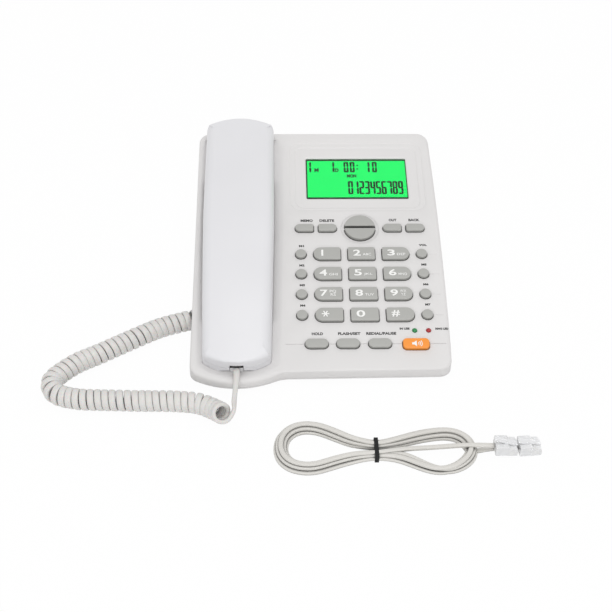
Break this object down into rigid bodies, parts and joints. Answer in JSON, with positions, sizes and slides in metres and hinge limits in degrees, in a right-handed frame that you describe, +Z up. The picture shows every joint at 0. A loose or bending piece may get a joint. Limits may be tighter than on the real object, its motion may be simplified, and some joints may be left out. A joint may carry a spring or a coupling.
{
  "type": "corded landline telephone",
  "caption": "Wedge-shaped desk telephone with a handset in its cradle, grey keypad, lit display, curly handset cord and a tied line cord.",
  "frame": {"origin": "bottom centre of the box around the base and handset, cords left out, on the table", "axes": "+Z up, +X toward the right side of the keypad, +Y toward the rear, so the front lip faces -Y"},
  "size_m": [0.2888, 0.2637, 0.0629],
  "materials": {
    "case_plastic": "satin",
    "handset_plastic": "satin",
    "key_plastic": "satin",
    "orange_plastic": "satin",
    "foot_rubber": "matte",
    "steel": "bright",
    "circuit_board": "solder mask",
    "mat_rubber": "matte",
    "window_clear": "clear",
    "lcd_glass": "lit green",
    "holder_white": "white diffuser",
    "lamp": "one green lamp and one red lamp",
    "plunger_white": "smooth",
    "speaker_black": "paper cone in a steel basket",
    "jack_black": "moulded",
    "cell_sleeve": "plain sleeve",
    "capsule_metal": "plain",
    "cord_pvc": "soft, slightly glossy",
    "plug_clear": "clear polycarbonate",
    "tie_black": "twist tie"
  },
  "bodies": {
    "base": {"base_top_shell": "case_plastic", "base_bottom_shell": "case_plastic", "rubber_feet": "foot_rubber", "base_screws": "steel", "main_pcb": "circuit_board", "keypad_mat": "mat_rubber", "display_window": "window_clear", "lcd_panel": "lcd_glass", "lcd_holder": "holder_white", "indicator_leds": "lamp", "hook_spring": "steel", "loudspeaker": "speaker_black", "line_jack": "jack_black", "cord_jack": "jack_black", "batteries": "cell_sleeve", "handset_cord_coil": "cord_pvc", "handset_cord_tails": "cord_pvc", "base_cord_plug": "plug_clear", "line_cord_hank": "cord_pvc", "line_cord_tail": "cord_pvc", "line_cord_tie": "tie_black", "line_plugs": "plug_clear"},
    "handset": {"handset_back_shell": "handset_plastic", "handset_face_shell": "handset_plastic", "earpiece_capsule": "speaker_black", "microphone_capsule": "capsule_metal", "handset_jack": "jack_black", "handset_cord_plug": "plug_clear"},
    "hook": {"hook_plunger": "plunger_white"},
    "door": {"battery_door": "case_plastic"},
    "button_1": {"key_1": "key_plastic"},
    "button_2": {"key_2": "key_plastic"},
    "button_3": {"key_3": "key_plastic"},
    "button_4": {"key_4": "key_plastic"},
    "button_5": {"key_5": "key_plastic"},
    "button_6": {"key_6": "key_plastic"},
    "button_7": {"key_7": "key_plastic"},
    "button_8": {"key_8": "key_plastic"},
    "button_9": {"key_9": "key_plastic"},
    "button_star": {"key_star": "key_plastic"},
    "button_0": {"key_0": "key_plastic"},
    "button_hash": {"key_hash": "key_plastic"},
    "button_m1": {"key_m1": "key_plastic"},
    "button_m2": {"key_m2": "key_plastic"},
    "button_m3": {"key_m3": "key_plastic"},
    "button_m4": {"key_m4": "key_plastic"},
    "button_vol": {"key_vol": "key_plastic"},
    "button_m5": {"key_m5": "key_plastic"},
    "button_m6": {"key_m6": "key_plastic"},
    "button_m7": {"key_m7": "key_plastic"},
    "button_memo": {"key_memo": "key_plastic"},
    "button_delete": {"key_delete": "key_plastic"},
    "button_out": {"key_out": "key_plastic"},
    "button_back": {"key_back": "key_plastic"},
    "button_hold": {"key_hold": "key_plastic"},
    "button_flash": {"key_flash": "key_plastic"},
    "button_redial": {"key_redial": "key_plastic"},
    "button_speaker": {"key_speaker": "orange_plastic"},
    "button_up": {"key_up": "key_plastic"},
    "button_down": {"key_down": "key_plastic"}
  },
  "joints": [
    {"name": "press_1", "type": "slide", "parent": "base", "child": "button_1", "axis": [0, 0.1908, -0.9816], "range_m": [0, 0.0015], "stiffness_N_per_m": 250, "springref_m": -0.001},
    {"name": "press_2", "type": "slide", "parent": "base", "child": "button_2", "axis": [0, 0.1908, -0.9816], "range_m": [0, 0.0015], "stiffness_N_per_m": 250, "springref_m": -0.001},
    {"name": "press_3", "type": "slide", "parent": "base", "child": "button_3", "axis": [0, 0.1908, -0.9816], "range_m": [0, 0.0015], "stiffness_N_per_m": 250, "springref_m": -0.001},
    {"name": "press_4", "type": "slide", "parent": "base", "child": "button_4", "axis": [0, 0.1908, -0.9816], "range_m": [0, 0.0015], "stiffness_N_per_m": 250, "springref_m": -0.001},
    {"name": "press_5", "type": "slide", "parent": "base", "child": "button_5", "axis": [0, 0.1908, -0.9816], "range_m": [0, 0.0015], "stiffness_N_per_m": 250, "springref_m": -0.001},
    {"name": "press_6", "type": "slide", "parent": "base", "child": "button_6", "axis": [0, 0.1908, -0.9816], "range_m": [0, 0.0015], "stiffness_N_per_m": 250, "springref_m": -0.001},
    {"name": "press_7", "type": "slide", "parent": "base", "child": "button_7", "axis": [0, 0.1908, -0.9816], "range_m": [0, 0.0015], "stiffness_N_per_m": 250, "springref_m": -0.001},
    {"name": "press_8", "type": "slide", "parent": "base", "child": "button_8", "axis": [0, 0.1908, -0.9816], "range_m": [0, 0.0015], "stiffness_N_per_m": 250, "springref_m": -0.001},
    {"name": "press_9", "type": "slide", "parent": "base", "child": "button_9", "axis": [0, 0.1908, -0.9816], "range_m": [0, 0.0015], "stiffness_N_per_m": 250, "springref_m": -0.001},
    {"name": "press_star", "type": "slide", "parent": "base", "child": "button_star", "axis": [0, 0.1908, -0.9816], "range_m": [0, 0.0015], "stiffness_N_per_m": 250, "springref_m": -0.001},
    {"name": "press_0", "type": "slide", "parent": "base", "child": "button_0", "axis": [0, 0.1908, -0.9816], "range_m": [0, 0.0015], "stiffness_N_per_m": 250, "springref_m": -0.001},
    {"name": "press_hash", "type": "slide", "parent": "base", "child": "button_hash", "axis": [0, 0.1908, -0.9816], "range_m": [0, 0.0015], "stiffness_N_per_m": 250, "springref_m": -0.001},
    {"name": "press_m1", "type": "slide", "parent": "base", "child": "button_m1", "axis": [0, 0.1908, -0.9816], "range_m": [0, 0.0015], "stiffness_N_per_m": 250, "springref_m": -0.001},
    {"name": "press_m2", "type": "slide", "parent": "base", "child": "button_m2", "axis": [0, 0.1908, -0.9816], "range_m": [0, 0.0015], "stiffness_N_per_m": 250, "springref_m": -0.001},
    {"name": "press_m3", "type": "slide", "parent": "base", "child": "button_m3", "axis": [0, 0.1908, -0.9816], "range_m": [0, 0.0015], "stiffness_N_per_m": 250, "springref_m": -0.001},
    {"name": "press_m4", "type": "slide", "parent": "base", "child": "button_m4", "axis": [0, 0.1908, -0.9816], "range_m": [0, 0.0015], "stiffness_N_per_m": 250, "springref_m": -0.001},
    {"name": "press_vol", "type": "slide", "parent": "base", "child": "button_vol", "axis": [0, 0.1908, -0.9816], "range_m": [0, 0.0015], "stiffness_N_per_m": 250, "springref_m": -0.001},
    {"name": "press_m5", "type": "slide", "parent": "base", "child": "button_m5", "axis": [0, 0.1908, -0.9816], "range_m": [0, 0.0015], "stiffness_N_per_m": 250, "springref_m": -0.001},
    {"name": "press_m6", "type": "slide", "parent": "base", "child": "button_m6", "axis": [0, 0.1908, -0.9816], "range_m": [0, 0.0015], "stiffness_N_per_m": 250, "springref_m": -0.001},
    {"name": "press_m7", "type": "slide", "parent": "base", "child": "button_m7", "axis": [0, 0.1908, -0.9816], "range_m": [0, 0.0015], "stiffness_N_per_m": 250, "springref_m": -0.001},
    {"name": "press_memo", "type": "slide", "parent": "base", "child": "button_memo", "axis": [0, 0.1908, -0.9816], "range_m": [0, 0.0015], "stiffness_N_per_m": 250, "springref_m": -0.001},
    {"name": "press_delete", "type": "slide", "parent": "base", "child": "button_delete", "axis": [0, 0.1908, -0.9816], "range_m": [0, 0.0015], "stiffness_N_per_m": 250, "springref_m": -0.001},
    {"name": "press_out", "type": "slide", "parent": "base", "child": "button_out", "axis": [0, 0.1908, -0.9816], "range_m": [0, 0.0015], "stiffness_N_per_m": 250, "springref_m": -0.001},
    {"name": "press_back", "type": "slide", "parent": "base", "child": "button_back", "axis": [0, 0.1908, -0.9816], "range_m": [0, 0.0015], "stiffness_N_per_m": 250, "springref_m": -0.001},
    {"name": "press_hold", "type": "slide", "parent": "base", "child": "button_hold", "axis": [0, 0.1908, -0.9816], "range_m": [0, 0.0015], "stiffness_N_per_m": 250, "springref_m": -0.001},
    {"name": "press_flash", "type": "slide", "parent": "base", "child": "button_flash", "axis": [0, 0.1908, -0.9816], "range_m": [0, 0.0015], "stiffness_N_per_m": 250, "springref_m": -0.001},
    {"name": "press_redial", "type": "slide", "parent": "base", "child": "button_redial", "axis": [0, 0.1908, -0.9816], "range_m": [0, 0.0015], "stiffness_N_per_m": 250, "springref_m": -0.001},
    {"name": "press_speaker", "type": "slide", "parent": "base", "child": "button_speaker", "axis": [0, 0.1908, -0.9816], "range_m": [0, 0.0015], "stiffness_N_per_m": 250, "springref_m": -0.001},
    {"name": "press_up", "type": "slide", "parent": "base", "child": "button_up", "axis": [0, 0.1908, -0.9816], "range_m": [0, 0.0015], "stiffness_N_per_m": 250, "springref_m": -0.001},
    {"name": "press_down", "type": "slide", "parent": "base", "child": "button_down", "axis": [0, 0.1908, -0.9816], "range_m": [0, 0.0015], "stiffness_N_per_m": 250, "springref_m": -0.001},
    {"name": "handset_lift", "type": "slide", "parent": "base", "child": "handset", "axis": [0, -0.1908, 0.9816], "range_m": [0, 0.07], "deforming": ["handset_cord_tails"]},
    {"name": "hook_slide", "type": "slide", "parent": "base", "child": "hook", "axis": [0, -0.1908, 0.9816], "range_m": [0, 0.004], "deforming": ["hook_spring"]},
    {"name": "battery_door_slide", "type": "slide", "parent": "base", "child": "door", "axis": [0, 1, 0], "range_m": [0, 0.012]}
  ],
  "couplings": [
    {"joint": "hook_slide", "follows": "handset_lift", "ratio": 0.057142}
  ]
}
